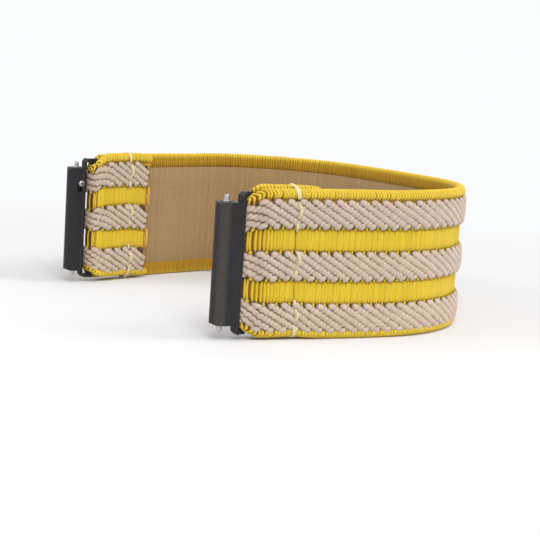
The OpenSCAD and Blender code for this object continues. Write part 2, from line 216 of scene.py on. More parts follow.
def new_piece(name, points, faces, material, uv=None, **marks):
    """One smooth piece on the band. faces is a list of index arrays, each with faces of one size,
    uv holds two numbers a point, and each mark one number a point."""
    points = np.asarray(points, float).reshape(-1, 3)
    corners = np.concatenate([f.ravel() for f in faces]).astype(np.int32)
    sizes = np.concatenate([np.full(len(f), f.shape[1]) for f in faces])
    mesh = bpy.data.meshes.new(name)
    mesh.vertices.add(len(points))
    mesh.vertices.foreach_set("co", points.ravel())
    mesh.loops.add(len(corners))
    mesh.loops.foreach_set("vertex_index", corners)
    mesh.polygons.add(len(sizes))
    mesh.polygons.foreach_set("loop_start", (np.cumsum(sizes) - sizes).astype(np.int32))
    mesh.update(calc_edges=True)
    mesh.validate()
    mesh.shade_smooth()
    if uv is not None:
        layer = mesh.uv_layers.new(name="yarn")
        layer.data.foreach_set("uv", np.asarray(uv, float).reshape(-1, 2)[corners].ravel())
    for mark, values in marks.items():
        attribute = mesh.attributes.new(mark, "FLOAT", "POINT")
        attribute.data.foreach_set("value", np.asarray(values, float).ravel())
    mesh.materials.append(material)
    piece = bpy.data.objects.new(name, mesh)
    bpy.context.scene.collection.objects.link(piece)
    return piece


def tube_faces(stations, around, first=0):
    """Faces of a closed section of points carried through stations, with both ends shut. On the
    outer side of the cloth the section runs towards +z, which turns every face outwards."""
    i, m = np.meshgrid(np.arange(stations - 1), np.arange(around), indexing="ij")
    a = i * around + m
    b = i * around + (m + 1) % around
    sides = np.stack([a, a + around, b + around, b], -1).reshape(-1, 4) + first
    start = np.arange(around)[None, :] + first
    end = (stations - 1) * around + np.arange(around)[::-1][None, :] + first
    return [sides, start, end]


def material_of(name, roughness, metallic=0.0, sheen=0.0):
    """A new material with its shader and its node tree."""
    material = bpy.data.materials.new(name)
    material.use_nodes = True
    shader = material.node_tree.nodes["Principled BSDF"]
    shader.inputs["Roughness"].default_value = roughness
    shader.inputs["Metallic"].default_value = metallic
    shader.inputs["Sheen Weight"].default_value = sheen
    shader.inputs["Sheen Roughness"].default_value = 0.5
    return material, material.node_tree, shader


def add_node(tree, kind, **values):
    """A node whose sockets, named in values with spaces as underscores, are set or linked."""
    node = tree.nodes.new(kind)
    for key, value in values.items():
        socket = node.inputs[key.replace("_", " ")]
        if isinstance(value, bpy.types.NodeSocket):
            tree.links.new(value, socket)
        else:
            socket.default_value = value
    return node


def object_place(tree):
    """The object's own coordinates, in metres."""
    return tree.nodes.new("ShaderNodeTexCoord").outputs["Object"]


def noise(tree, coordinates, size, detail=3.0):
    """Noise whose grains have the given sizes along the three coordinates."""
    scaled = add_node(tree, "ShaderNodeMapping", Vector=coordinates, Scale=[1 / g for g in size])
    grains = add_node(tree, "ShaderNodeTexNoise", Vector=scaled.outputs[0], Scale=1.0, Detail=detail)
    return grains.outputs[0]


def ramp(tree, share, *stops):
    """Colour that goes through the given (place, colour) stops as share goes from 0 to 1."""
    node = tree.nodes.new("ShaderNodeValToRGB")
    tree.links.new(share, node.inputs[0])
    points = node.color_ramp.elements
    while len(points) < len(stops):
        points.new(0.5)
    for point, (place, colour) in zip(points, stops):
        point.position = place
        point.color = (*colour, 1.0)
    return node.outputs[0]


def mixed(tree, share, first, second, blend="MIX"):
    """Two colours mixed by share, each a socket or three numbers."""
    node = tree.nodes.new("ShaderNodeMix")
    node.data_type = "RGBA"
    node.blend_type = blend
    sockets = (node.inputs[0], node.inputs[6], node.inputs[7])
    for socket, value in zip(sockets, (share, first, second)):
        if isinstance(value, bpy.types.NodeSocket):
            tree.links.new(value, socket)
        elif isinstance(value, float):
            socket.default_value = value
        else:
            socket.default_value = (*value, 1.0)
    return node.outputs[2]


def bumped(tree, shader, height, depth):
    """Gives the shader a relief of the given depth in metres."""
    bump = add_node(tree, "ShaderNodeBump", Height=height, Strength=1.0, Distance=depth)
    tree.links.new(bump.outputs[0], shader.inputs["Normal"])


rubber, tree, shader = material_of("natural_rubber", 0.6)
grain = noise(tree, object_place(tree), (0.0004, 0.0004, 0.0004))
rubber_colour = ramp(tree, grain, (0.3, (0.50, 0.45, 0.35)), (0.7, (0.62, 0.57, 0.46)))
tree.links.new(rubber_colour, shader.inputs["Base Color"])

thread_count = 30
thread_radius = 0.22
thread_height = 0.55
thread_sides = 6
thread_inset = 0.5
row_half = 9.4
thread_u = np.linspace(first_u + thread_inset, last_u - thread_inset, 240)
thread_z = np.linspace(-row_half, row_half, thread_count)
around = 2 * np.pi * np.arange(thread_sides) / thread_sides
threads = on_band(
    thread_u[None, :, None],
    thread_z[:, None, None] + thread_radius * np.sin(around),
    thread_height + thread_radius * np.cos(around),
)
thread_faces = []
for k in range(thread_count):
    thread_faces += tube_faces(len(thread_u), thread_sides, k * len(thread_u) * thread_sides)
core = new_piece("rubber_threads", threads, thread_faces, rubber)
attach(core, "band")
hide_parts("elastic_core")

# Ground cloth
# The body of the elastic is a tight cloth whose yellow polyester weft crosses it as two smooth
# bands and wraps round both edges as a fat roll. A narrow loom weaves all of it in one pass, and
# the cut ends are sealed with heat.

ridge_pitch = 2.07
yarns_per_ridge = 4
yarn_pitch = ridge_pitch / yarns_per_ridge
stretch_amount = 0.7
stretch_reach = 2.5
fold_middle = stretch_amount * stretch_reach - fold_length / 2
ridge_phase = 1.05


def stretched(c):
    """Place along the band of the cloth's own coordinate c: even in the loop, and drawn apart round
    both folds by a tanh step, so the yarns there stand further from each other."""
    near = np.tanh((c - fold_middle) / stretch_reach)
    far = np.tanh((c - loop_length + fold_middle) / stretch_reach)
    return c + stretch_amount * stretch_reach * (near + far)


first_c = first_u + stretch_reach * stretch_amount * 2
last_c = loop_length - first_c
yarn_count = int((last_c - first_c) / yarn_pitch) - 1
yarn_c = half_length + ridge_phase + yarn_pitch * (np.arange(yarn_count) - yarn_count // 2)

rib_width = 4.65
rib_half = rib_width / 2
rib_reach = 2.6
rib_centres = (8.04, -0.36, -8.75)
band_centres = (3.84, -4.57)
band_half = 1.98
face_top = 1.3
rng = np.random.default_rng(12)
crown_foot = 1.36
crown_rise = 0.40


def crown(dz):
    """Height of the middle of a rib's strands, dz mm from the middle of the rib: half an ellipse."""
    return crown_foot + crown_rise * np.sqrt(np.clip(1 - (dz / rib_reach) ** 2, 0, 1))


# the cloth under the yarns, a closed section that is flat in the bands and crowned in the ribs, in a
# near black brown that is painted shade for the gaps between the yarns
cloth_half = 10.9
cloth_inset = 0.1
bent_length = 10.0
edge_height = 1.4
under_strands = 0.16
rib_foot = 1.08
rib_z = rib_half * np.array([1.06, 0.95, 0.8, 0.5, 0.0, -0.5, -0.8, -0.95, -1.06])
rib_n = crown(rib_z) - under_strands
rib_n[[0, -1]] = rib_foot
top_z = np.concatenate([[cloth_half]] + [c + rib_z for c in rib_centres] + [[-cloth_half]])[::-1]
top_n = np.concatenate([[edge_height]] + [rib_n for c in rib_centres] + [[edge_height]])[::-1]
cloth_z = np.concatenate([top_z, [cloth_half, 0.0, -cloth_half]])
cloth_n = np.concatenate([top_n, [0.15, 0.15, 0.15]])
cloth_u = np.concatenate(
    [
        np.linspace(first_u + cloth_inset, -fold_length, 26)[:-1],
        np.linspace(-fold_length, bent_length, 44)[:-1],
        np.linspace(bent_length, loop_length - bent_length, 160)[:-1],
        np.linspace(loop_length - bent_length, loop_length + fold_length, 44)[:-1],
        np.linspace(loop_length + fold_length, last_u - cloth_inset, 26),
    ]
)

# painted shade: near black brown, with grain
painted_shade_ground, tree, shader = material_of("ground_shade", 0.95)
grain = noise(tree, object_place(tree), (0.0003, 0.0003, 0.0012))
ground_colour = ramp(tree, grain, (0.35, (0.055, 0.030, 0.014)), (0.7, (0.11, 0.062, 0.030)))
tree.links.new(ground_colour, shader.inputs["Base Color"])
cloth = new_piece(
    "ground_cloth",
    on_band(cloth_u[:, None], cloth_z, cloth_n),
    tube_faces(len(cloth_u), len(cloth_z)),
    painted_shade_ground,
)
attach(cloth, "band")


def yarn_material(name, shade_colour, half_shade_colour, lit_colour, fibre, sheen=0.25):
    """Spun yarn, painted in shaded and lit copies of one colour: painted shade, darker as its mark of
    painted light goes down, with fine fibres along the yarn that change its colour and stand up as
    relief, and a tone of its own for each yarn."""
    material, tree, shader = material_of(name, 0.85, sheen=sheen)
    shader.inputs["Specular IOR Level"].default_value = 0.2
    crest = add_node(tree, "ShaderNodeAttribute")
    crest.attribute_name = "crest"
    tone = add_node(tree, "ShaderNodeAttribute")
    tone.attribute_name = "tone"
    place = tree.nodes.new("ShaderNodeUVMap").outputs[0]
    fibres = noise(tree, place, fibre, 2.0)
    # painted shade: from the deep shade colour through the half shade colour to the lit colour
    base = ramp(tree, crest.outputs["Fac"], (0.0, shade_colour), (0.4, half_shade_colour), (0.85, lit_colour))
    darker = mixed(tree, 1.0, base, (0.92, 0.90, 0.87), "MULTIPLY")
    toned = mixed(tree, tone.outputs["Fac"], darker, base)
    streak = ramp(tree, fibres, (0.35, (0.84, 0.82, 0.79)), (0.6, (1.0, 1.0, 1.0)))
    final = mixed(tree, 1.0, toned, streak, "MULTIPLY")
    tree.links.new(final, shader.inputs["Base Color"])
    bumped(tree, shader, fibres, 0.00004)
    return material


# each yarn's colours are its painted deep shade, its painted half shade and its lit colour
weft_shade_colour = (0.15, 0.06, 0.004)
weft_fibre = (1.6, 0.09, 1.0)
yellow = yarn_material(
    "yellow_weft", weft_shade_colour, (0.46, 0.25, 0.010), (0.745, 0.535, 0.032), weft_fibre, 0.1
)
pale_yellow = yarn_material(
    "yellow_edge_weft", weft_shade_colour, (0.47, 0.26, 0.011), (0.80, 0.59, 0.052), weft_fibre, 0.1
)

# across each yarn, from -1 to 1, and the height of its round back there
across = np.array([-0.97, -0.75, -0.3, 0.3, 0.75, 0.97])
back_height = np.sqrt(1 - across**2)
# the yarns are loose from just inside the fold to loose_reach mm along the loop: thinner there,
# with bows that differ more and lean one way. Each yarn stands off its own place by a scatter,
# which is a share of the pitch
loose_reach = 8.0
loose_thinning = 0.26
loose_bow = 0.16
scatter = 0.05
yarn_tone = rng.random(yarn_count)
yarn_jitter = scatter * yarn_pitch * rng.standard_normal(yarn_count)
from_fold = np.minimum(stretched(yarn_c), loop_length - stretched(yarn_c))
looseness = swell(1.0, 0.0, (from_fold + 1.0) / loose_reach) * (from_fold > -fold_length)
thinned = loose_thinning * looseness * (0.7 + 0.6 * rng.random(yarn_count))
yarn_half = 0.5 * yarn_pitch * (1.0 - thinned)
yarn_bow = (0.02 + 0.12 * looseness) * rng.standard_normal(yarn_count) - loose_bow * looseness
# 1 on the inner side of each pair of yarns, where the gap may be closer
inner_side = ((-1.0) ** np.arange(yarn_count)[:, None] * across < 0).astype(float)
# painted shade, deeper in the gaps between loose yarns
loose_contrast = 1.3
# painted shadow along the seam: how much darker at the seam line, and its reach in mm
seam_shade_amount = 0.75
seam_shade_reach = 0.12


def yarn_rows(
    z,
    n,
    side_z,
    side_n,
    shift,
    bow_shape,
    depth,
    loose_depth,
    crest_share,
    contrast,
    pairing,
    narrowing=0.0,
):
    """Yarns side by side as one closed relief. At each of the section's points z, n, the surface
    sinks along (side_z, side_n) between yarns, by depth where they are tight and loose_depth where
    they are loose, and is painted darker there by contrast, as painted shade, as it is along the seam,
    as the seam's painted shadow. The yarns run shift mm ahead, bow by bow_shape times their own bow,
    and lie in pairs whose inner gap is shallower by pairing. Loose ones narrow where bow_shape is below
    one. Gives points, uv, a mark of painted light and shade, and tone."""
    loose = looseness[:, None, None]
    own_tone = yarn_tone[:, None, None]
    over = across[None, :, None]
    c = (yarn_c + yarn_jitter)[:, None, None] + yarn_bow[:, None, None] * bow_shape + shift
    c = c + yarn_half[:, None, None] * over * (1 - narrowing * loose * (1 - bow_shape))
    hollow = ((1 - back_height) * (1 - pairing * inner_side * (1 - looseness[:, None])))[..., None]
    sink = (depth + (loose_depth - depth) * loose) * hollow
    place_u = stretched(c)
    points = on_band(place_u, z - side_z * sink, n - side_n * sink)
    shape = (yarn_count, len(across), len(z))
    path = np.concatenate([[0], np.cumsum(np.hypot(np.diff(z), np.diff(n)))])
    uv = np.stack([path + 3.0 * own_tone + 0.0 * over, 0.25 * over + 0.0 * (path + own_tone)], -1)
    to_near_seam = np.abs(place_u - seam_line(z))
    to_far_seam = np.abs(loop_length - seam_line(z) - place_u)
    from_seam = np.minimum(to_near_seam, to_far_seam)
    # painted shadow along the seam
    seam_shade = 1 - seam_shade_amount * np.exp(-((from_seam / seam_shade_reach) ** 2))
    # painted shade in the gaps between yarns
    gap_shade = (contrast + (loose_contrast - contrast) * loose) * hollow
    crest = np.broadcast_to(crest_share * seam_shade * np.clip(1 - gap_shade, 0, 1), shape)
    tone = np.broadcast_to(own_tone, shape)
    return points.reshape(-1, len(z), 3), uv, crest, tone


# two bands between the ribs: smooth in the middle, and the yarns dive apart under the ribs, where they
# are painted darker as painted shade
reach = np.array([-1.0, -0.93, -0.84, -0.66, -0.3, 0.3, 0.66, 0.84, 0.93, 1.0])
dive = np.array([0.36, 0.17, 0.06, 0.0, 0.0, 0.0, 0.0, 0.06, 0.17, 0.36])
notch = np.array([1.0, 1.0, 0.85, 0.12, 0.0, 0.0, 0.12, 0.85, 1.0, 1.0])
below = np.array([0.6, -0.6])
flat = np.zeros(2)
for name, band_centre in zip(("yellow_band_upper", "yellow_band_lower"), band_centres):
    points, uv, crest, tone = yarn_rows(
        band_centre + band_half * np.concatenate([reach, below]),
        np.concatenate([face_top + 0.06 - dive, [0.7, 0.7]]),
        0.0,
        1.0,
        0.0,
        np.concatenate([1 - reach**2, flat]),
        np.concatenate([0.09 + 0.27 * notch, flat]),
        np.concatenate([np.full(len(reach), 0.36), flat]),
        # painted shade: darker where the yarns dive under the ribs
        np.concatenate([1 - 1.1 * dive, flat]),
        # painted shade between the yarns, deeper in the notches by the ribs
        np.concatenate([0.36 + 0.6 * notch, flat]),
        0.55,
        0.4,
    )
    band = new_piece(name, points, tube_faces(*points.shape[:2]), yellow, uv, crest=crest, tone=tone)
    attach(band, "band")
    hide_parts("webbing_ground")

# rolled edges: a skirt of two points under the ribs, then over the edge through the angles in
# turned, from the outer face to the inner, where the yarns lean back, and four points under the cloth
turned = np.array([240.0, 222.0, 205.0, 188.0, 168.0, 148.0, 128.0, 108.0, 88.0, 66.0, 44.0, 22.0, 0.0])
angle = np.radians(turned)
roll_axis_z = 11.15
roll_axis_n = 0.925
roll_n = np.concatenate([roll_axis_n - roll_axis_n * np.cos(angle), [0.02, 0.04, 0.4, 1.0]])
roll_side_n = np.concatenate([[1.0, 1.0], -np.cos(angle), [-1.0, -1.0, 0.0, 0.0]])
roll_side_z = np.concatenate([flat, np.sin(angle), np.zeros(4)])
crest_angle = 172.0
lean_inside = 0.68 * swell(0.0, 1.0, (crest_angle - turned) / 85.0)
lean_outside = 0.16 * np.clip((turned - crest_angle) / 60.0, 0, 1)
lean_back = -lean_inside - lean_outside
roll_shift = np.concatenate([flat + lean_back[0], lean_back, np.full(4, lean_back[-1])])
bow_inside = 0.3
bow_change = 2.2
bow_over = bow_inside - bow_change * np.clip((turned - 140.0) / 100.0, 0, 1)
roll_bow = np.concatenate([flat + bow_over[0], bow_over, np.full(4, bow_inside)])
roll_depth = np.concatenate([np.full(len(angle) + 2, 0.16), [0.07, 0.05, 0.0, 0.0]])
roll_loose = np.concatenate([np.full(len(angle) + 2, 0.28), [0.10, 0.05, 0.0, 0.0]])
# painted shade: darker on the skirt and the outer face under the ribs, and on the inner side of the
# roll and under the cloth
crest_outside = [0.55, 0.55, 0.48, 0.62, 0.86]
crest_inside = [0.88, 0.68, 0.52, 0.43, 0.40, 0.36, 0.0]
roll_crest = np.concatenate([crest_outside, np.ones(7), crest_inside])
for name, side, roll_radius, skirt_n in (
    ("rolled_edge_upper", 1.0, 0.95, [1.61, 1.55]),
    ("rolled_edge_lower", -1.0, 0.85, [1.10, 1.10]),
):
    order = slice(None) if side > 0 else slice(None, None, -1)
    over_edge = roll_axis_z + roll_radius * np.sin(angle)
    roll_z = np.concatenate([[9.55, 9.95], over_edge, [10.3, 9.3, 9.3, 10.3]])
    points, uv, crest, tone = yarn_rows(
        side * roll_z[order],
        np.concatenate([skirt_n, roll_n])[order],
        side * roll_side_z[order],
        roll_side_n[order],
        roll_shift[order],
        roll_bow[order],
        roll_depth[order],
        roll_loose[order],
        roll_crest[order],
        # painted shade between the yarns of the roll
        np.full(len(roll_z), 0.95),
        0.15,
    )
    faces = tube_faces(*points.shape[:2])
    roll = new_piece(name, points, faces, pale_yellow, uv, crest=crest, tone=tone)
    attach(roll, "band")
    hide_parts("webbing_ground")

# sealed ends: a lumpy rounded bead of melted yarn along each cut
melted, tree, shader = material_of("melted_yarn", 0.5)
lumps = noise(tree, object_place(tree), (0.0006, 0.0006, 0.0006))
melted_colour = ramp(tree, lumps, (0.3, (0.30, 0.10, 0.015)), (0.7, (0.62, 0.34, 0.06)))
tree.links.new(melted_colour, shader.inputs["Base Color"])
bumped(tree, shader, lumps, 0.0001)
bead_half = 12.1
bead_end = 12.15
bead_inset = 0.35
bead_wide = 0.42
bead_tall = 0.72
bead_middle = 0.95
bead_z = np.linspace(-bead_half, bead_half, 120)
bead_t = 2 * np.pi * np.arange(12) / 12
bead_shrink = np.sqrt(1 - (bead_z / bead_end) ** 12)[:, None]
bead_lumps = 1 + 0.10 * np.sin(2.1 * bead_z) * np.cos(3.7 * bead_z + 1.0)
bead_high = bead_tall * bead_shrink * bead_lumps[:, None]
for name, end_u, side in (("sealed_end_near", first_u, 1.0), ("sealed_end_far", last_u, -1.0)):
    bead = on_band(
        end_u + side * (bead_inset + bead_wide * bead_shrink * np.cos(bead_t)),
        bead_z[:, None],
        bead_middle + side * bead_high * np.sin(bead_t),
    )
    piece = new_piece(name, bead, tube_faces(len(bead_z), len(bead_t)), melted)
    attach(piece, "band")

# Ribs
# Each of the three ribs is a bundle of thick beige yarns that float over the cloth in short
# slanting strands. They lock into ridges like the lay of a rope, which run down to the right.

# one strand: five rings of points round its length, and a point at each end
strand_rings = np.pi * np.arange(1, 6) / 6
strand_round = 8
blunt_power = 0.95
ring_a = np.repeat(np.cos(strand_rings), strand_round)
ring_r = np.repeat(np.sin(strand_rings) ** blunt_power, strand_round)
ring_t = np.tile(2 * np.pi * np.arange(strand_round) / strand_round, len(strand_rings))
blob_a = np.concatenate([[1.0], ring_a, [-1.0]])
blob_b = np.concatenate([[0.0], ring_r * np.cos(ring_t), [0.0]])
blob_c = np.concatenate([[0.0], ring_r * np.sin(ring_t), [0.0]])
blob_round = np.concatenate([[0.0], ring_t, [0.0]])
blob_size = len(blob_a)
ring, step = np.meshgrid(np.arange(len(strand_rings) - 1), np.arange(strand_round), indexing="ij")
blob_low = 1 + ring * strand_round + step
blob_high = 1 + ring * strand_round + (step + 1) % strand_round
blob_corners = [blob_low, blob_low + strand_round, blob_high + strand_round, blob_high]
blob_quads = np.stack(blob_corners, -1).reshape(-1, 4)
tip = 1 + np.arange(strand_round)
next_tip = 1 + (np.arange(strand_round) + 1) % strand_round
last_ring = (len(strand_rings) - 1) * strand_round
blob_start = np.stack([np.zeros(strand_round, int), tip, next_tip], -1)
blob_end = np.stack([np.full(strand_round, blob_size - 1), next_tip + last_ring, tip + last_ring], -1)


def strands(name, material, c, z, n, length, width, height, slant, tilt, tone, shade):
    """Short strands of yarn, each a stretched round blob: a is the cosine along its length, and its
    thickness there is the sine to the power 0.95. slant turns it from the band's length towards
    +z, tilt lifts its leading end, n gives the height of its middle from the place z, and shade
    darkens its ends, where it dives in, as painted shade. Its underside is painted darker than its
    top, as painted shade."""
    a, b, h = blob_a[None, :], blob_b[None, :], blob_c[None, :]
    cosine, sine = np.cos(slant)[:, None], np.sin(slant)[:, None]
    half_long, half_wide, half_high = length[:, None] / 2, width[:, None] / 2, height[:, None] / 2
    forward = a * half_long * cosine - b * half_wide * sine
    zz = z[:, None] + a * half_long * sine + b * half_wide * cosine
    points = on_band(stretched(c[:, None] + forward), zz, n(zz) + h * half_high + tilt * a)
    index = (np.arange(len(c)) * blob_size)[:, None, None]
    faces = [(f[None] + index).reshape(-1, f.shape[1]) for f in (blob_quads, blob_start, blob_end)]
    offset = 7.0 * tone[:, None]
    uv = np.stack([a * half_long + offset, blob_round[None, :] * half_wide + offset], -1)
    # painted shade: lower on the strand darker, and darker towards the ends by shade
    crest = np.clip(0.60 + 0.40 * h, 0, 1) * (1 - shade[:, None] * a**4)
    tones = tone[:, None] + np.zeros_like(zz)
    return new_piece(name, points, faces, material, uv, crest=crest, tone=tones)


# the rib yarn's painted deep shade, painted half shade and lit colour
beige = yarn_material(
    "beige_rib_yarn",
    (0.06, 0.034, 0.020),
    (0.31, 0.225, 0.160),
    (0.63, 0.510, 0.412),
    (0.9, 0.10, 1.0),
    0.2,
)
# one ridge: nine strands that step along and down, between a knob at its top and one at its foot
strand_step = 0.595
strand_fall = 0.37
strand_shift = np.concatenate([[-3.05], strand_step * (np.arange(9) - 4), [3.10]])
strand_drop = np.concatenate([[1.92], strand_fall * (4 - np.arange(9)), [-1.92]])
is_knob = np.arange(11) % 10 == 0
# sizes are length, width and height in mm, and slants are in degrees. The weave is open up to
# open_reach mm from the fold, and the strands are slack, so narrower, up to slack_reach
knob_size = (1.50, 1.14, 0.84)
strand_size = (1.38, 1.13, 0.78)
strand_slant = 33.0
top_slant = -6.0
foot_slant = 22.0
strand_inset = 0.9
open_reach = 28.0
slack_reach = 6.5
ridge_count = int((last_c - first_c) / ridge_pitch)
ridge_c = half_length + ridge_phase + ridge_pitch * (np.arange(ridge_count) - ridge_count // 2)
for name, node, rib_centre in zip(
    ("rib_strands_upper", "rib_strands_middle", "rib_strands_lower"),
    ("rib_upper", "rib_middle", "rib_lower"),
    rib_centres,
):
    c = ridge_c[:, None] + strand_shift[None, :]
    z = rib_centre + strand_drop[None, :] + np.zeros_like(c)
    knob = np.broadcast_to(is_knob, c.shape)
    keep = (stretched(c) > first_u + strand_inset) & (stretched(c) < last_u - strand_inset)
    c, z, knob = c[keep], z[keep], knob[keep]
    count = len(c)
    away = np.minimum(stretched(c), loop_length - stretched(c))
    open_weave = swell(1.0, 0.0, away / open_reach)
    slack = swell(1.0, 0.0, (away + 1.0) / slack_reach) * (away > -fold_length)
    length = np.where(knob, knob_size[0], strand_size[0] - 0.05 * open_weave)
    width = np.where(knob, knob_size[1], strand_size[1]) * (1 - 0.2 * slack)
    height = np.where(knob, knob_size[2], strand_size[2])
    slant = np.where(knob, np.where(z > rib_centre, top_slant, foot_slant), strand_slant)
    piece = strands(
        name,
        beige,
        c + 0.03 * rng.standard_normal(count),
        z + 0.02 * rng.standard_normal(count),
        lambda zz, centre=rib_centre: crown(zz - centre),
        length * (1 + 0.04 * rng.standard_normal(count)),
        width * (1 + 0.04 * rng.standard_normal(count)),
        height * (1 + 0.03 * rng.standard_normal(count)),
        np.radians(slant + 4.0 * rng.standard_normal(count)),
        0.06,
        rng.random(count),
        # painted shade at the strand ends, darker near the folds
        0.35 + 0.60 * open_weave,
    )
    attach(piece, "band")
    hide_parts(node)

# yellow yarns that come up between the end strands of each rib, beside a band
knuckle_out = 2.16
knuckle_past = 0.13
knuckle_inset = 0.7
knuckle_height = 1.38
knuckle_c, knuckle_z = [], []
for rib_centre in rib_centres:
    for side in (1.0, -1.0):
        place_z = rib_centre + side * knuckle_out
        if abs(place_z) < row_half:
            knuckle_c.append(ridge_c - side * (strand_shift[-1] + knuckle_past) + ridge_pitch / 2)
            knuckle_z.append(np.full(ridge_count, place_z))
knuckle_c, knuckle_z = (np.concatenate(v) for v in (knuckle_c, knuckle_z))
knuckle_u = stretched(knuckle_c)
keep = (knuckle_u > first_u + knuckle_inset) & (knuckle_u < last_u - knuckle_inset)
knuckle_c, knuckle_z = knuckle_c[keep], knuckle_z[keep]
count = len(knuckle_c)
knuckles = strands(
    "yellow_knuckles",
    yellow,
    knuckle_c + 0.04 * rng.standard_normal(count),
    knuckle_z,
    lambda zz: knuckle_height,
    np.full(count, 0.95),
    np.full(count, 0.48),
    np.full(count, 0.46),
    np.radians(90 + 5 * rng.standard_normal(count)),
    0.0,
    rng.random(count),
    # painted shade at the knuckles' ends
    np.full(count, 0.5),
)
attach(knuckles, "band")
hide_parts("webbing_ground")

# Backing
# The inner face, which lies on the wrist, is a smooth beige layer woven in with the rest. Its
# fine yarns cross the band side by side, with no ribs, so that it doesn't mark the skin.

# the backing yarn's painted deep shade, painted half shade and lit colour
tan = yarn_material(
    "beige_backing_yarn",
    (0.12, 0.073, 0.034),
    (0.26, 0.161, 0.074),
    (0.400, 0.262, 0.124),
    (0.7, 0.08, 1.0),
    0.2,
)
# its section: the face, turned up a little at both sides, and two points inside the cloth
face_z = np.array([-9.45, -9.3, -6.0, -2.0, 2.0, 6.0, 9.3, 9.45])[::-1]
points, uv, crest, tone = yarn_rows(
    np.concatenate([face_z, [-row_half, row_half]]),
    np.concatenate([[0.06], np.zeros(6), [0.06], [0.28, 0.28]]),
    0.0,
    1.0,
    lean_back[-1],
    np.full(10, 0.4),
    np.concatenate([np.full(8, -0.05), flat]),
    np.concatenate([np.full(8, -0.07), flat]),
    np.ones(10),
    # painted shade in the gaps between the backing's yarns
    np.full(10, 0.45),
    0.0,
)
inner = new_piece("inner_face", points, tube_faces(*points.shape[:2]), tan, uv, crest=crest, tone=tone)
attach(inner, "band")
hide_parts("backing")

# Connectors
# Each end piece is one part of stainless steel with a satin black coating: a barrel for the spring
# bar, a flat cover lip, two shoulders, and two arms whose eyes hold the black strap bar.


def calculated(tree, operation, *values):
    """Result of a maths node on one or two values, each a socket or a number."""
    node = tree.nodes.new("ShaderNodeMath")
    node.operation = operation
    for socket, value in zip(node.inputs, values):
        if isinstance(value, bpy.types.NodeSocket):
            tree.links.new(value, socket)
        else:
            socket.default_value = value
    return node.outputs[0]


def share_between(tree, value, start, end):
    """Share that goes from 0 to 1 as value goes from start to end, and stays there."""
    return add_node(tree, "ShaderNodeMapRange", Value=value, From_Min=start, From_Max=end).outputs[0]


def machined(tree, shader, marks, edge):
    """Gives metal a small radius at its edges, in metres, and a relief of tool marks 4 microns deep."""
    rounded = add_node(tree, "ShaderNodeBevel", Radius=edge).outputs[0]
    relief = add_node(
        tree, "ShaderNodeBump", Height=marks, Strength=1.0, Distance=0.000004, Normal=rounded
    )
    tree.links.new(relief.outputs[0], shader.inputs["Normal"])


black, tree, shader = material_of("black_coated_steel", 0.40)
shader.inputs["Specular IOR Level"].default_value = 0.14
where = object_place(tree)
grain = noise(tree, where, (0.00010, 0.00010, 0.0005))
cloudy = noise(tree, where, (0.0006, 0.0006, 0.0016))
# painted highlight: close to the barrel's axis, on the side away from the elastic and on its outer
# side, the coat is painted lighter and browner than the rest, as a lit zone with its own grain
parts = add_node(tree, "ShaderNodeSeparateXYZ", Vector=where)
beside_x = calculated(tree, "ADD", parts.outputs["X"], origin_x / 1000)
either_side = calculated(tree, "ABSOLUTE", parts.outputs["Y"])
beside_y = calculated(tree, "SUBTRACT", either_side, bar_span / 2000)
flat_place = add_node(tree, "ShaderNodeCombineXYZ", X=beside_x, Y=beside_y)
from_axis = add_node(tree, "ShaderNodeVectorMath")
from_axis.operation = "LENGTH"
tree.links.new(flat_place.outputs[0], from_axis.inputs[0])
on_barrel = share_between(tree, from_axis.outputs["Value"], 0.00190, 0.00172)
open_side = share_between(tree, beside_x, 0.00020, -0.00060)
outer_side = share_between(tree, beside_y, 0.00020, 0.00110)
painted_highlight = calculated(tree, "MULTIPLY", calculated(tree, "MULTIPLY", on_barrel, open_side), outer_side)
coat = ramp(tree, cloudy, (0.3, (0.020, 0.0205, 0.0225)), (0.7, (0.026, 0.026, 0.0285)))
painted_highlight_coat = ramp(tree, grain, (0.3, (0.042, 0.038, 0.035)), (0.7, (0.072, 0.065, 0.058)))
# painted highlight mixed into the coat
tree.links.new(mixed(tree, painted_highlight, coat, painted_highlight_coat), shader.inputs["Base Color"])
shine = ramp(tree, cloudy, (0.3, (0.36, 0.36, 0.36)), (0.7, (0.44, 0.44, 0.44)))
tree.links.new(shine, shader.inputs["Roughness"])
machined(tree, shader, grain, 0.00012)
for end in ("near", "far"):
    for part in ("connector_", "strap_bar_"):
        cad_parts[part + end].material_slots[0].material = black

# Spring bars
# The spring bar is a thin steel tube, rolled in at both mouths round a fixed and a sliding tip,
# with a coil spring between them and a release knob pressed into the sliding rod.

steel, tree, shader = material_of("turned_steel", 0.28, metallic=1.0)
rings = noise(tree, object_place(tree), (0.003, 0.003, 0.00008), 2.0)
steel_colour = ramp(tree, rings, (0.3, (0.40, 0.40, 0.41)), (0.7, (0.56, 0.56, 0.57)))
tree.links.new(steel_colour, shader.inputs["Base Color"])
machined(tree, shader, rings, 0.00006)
wire, tree, shader = material_of("spring_wire", 0.35, metallic=1.0)
drawn = noise(tree, object_place(tree), (0.0002, 0.0002, 0.0001), 2.0)
wire_colour = ramp(tree, drawn, (0.3, (0.36, 0.36, 0.37)), (0.7, (0.50, 0.50, 0.51)))
tree.links.new(wire_colour, shader.inputs["Base Color"])
for end in ("near", "far"):
    for part in ("spring_bar_sleeve_", "fixed_tip_", "plunger_", "release_knob_"):
        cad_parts[part + end].material_slots[0].material = steel

